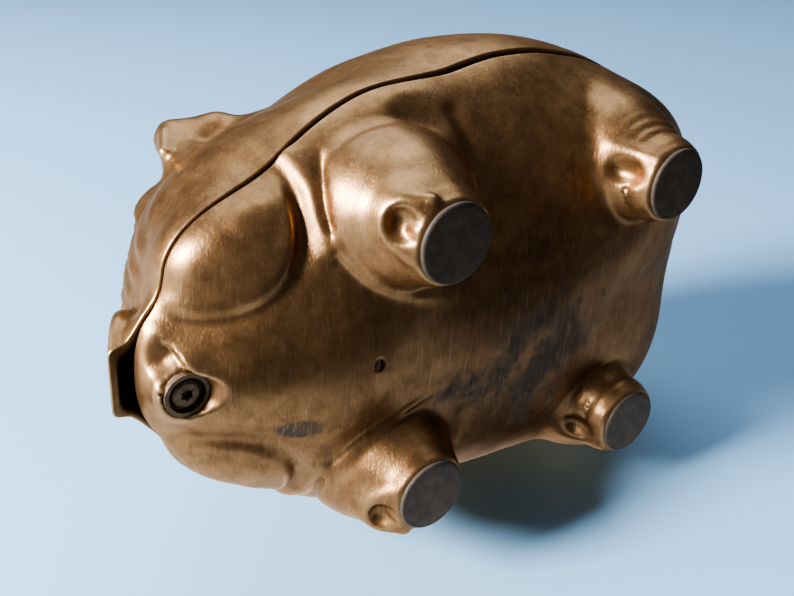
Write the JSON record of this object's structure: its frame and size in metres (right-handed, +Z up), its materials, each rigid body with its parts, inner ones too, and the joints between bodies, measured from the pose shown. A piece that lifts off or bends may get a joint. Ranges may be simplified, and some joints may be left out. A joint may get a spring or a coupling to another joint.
{
  "type": "piggy bank",
  "caption": "Hollow cast-brass pig money box in two shells: the back lifts off the belly once the screw under the chin is drawn; coin slot in the back, dark round foot pads.",
  "frame": {"origin": "bottom centre of the object's box, on the plane that the foot pads stand on", "axes": "+Z up, nose towards -Y, the pig's left side towards +X"},
  "size_m": [0.1556, 0.2266, 0.1285],
  "materials": {
    "brass_upper": "worn polish with brown tarnish",
    "brass_lower": "worn polish with brown and grey tarnish",
    "brass_turned": "turned, dull and tarnished",
    "steel_dark": "dark, dull",
    "pad_rubber": "matt slate grey"
  },
  "bodies": {
    "belly": {"lower_shell": "brass_lower", "chin_bushing": "brass_turned", "pad_front_left": "pad_rubber", "pad_front_right": "pad_rubber", "pad_rear_left": "pad_rubber", "pad_rear_right": "pad_rubber"},
    "back": {"upper_shell": "brass_upper", "screw_post": "brass_turned"},
    "screw": {"chin_screw": "steel_dark"}
  },
  "joints": [
    {"name": "shell_lift", "type": "slide", "parent": "belly", "child": "back", "axis": [0, 0, 1], "range_m": [0, 0.06]},
    {"name": "screw_draw", "type": "slide", "parent": "belly", "child": "screw", "axis": [0, 0, -1], "range_m": [0, 0.024]}
  ]
}
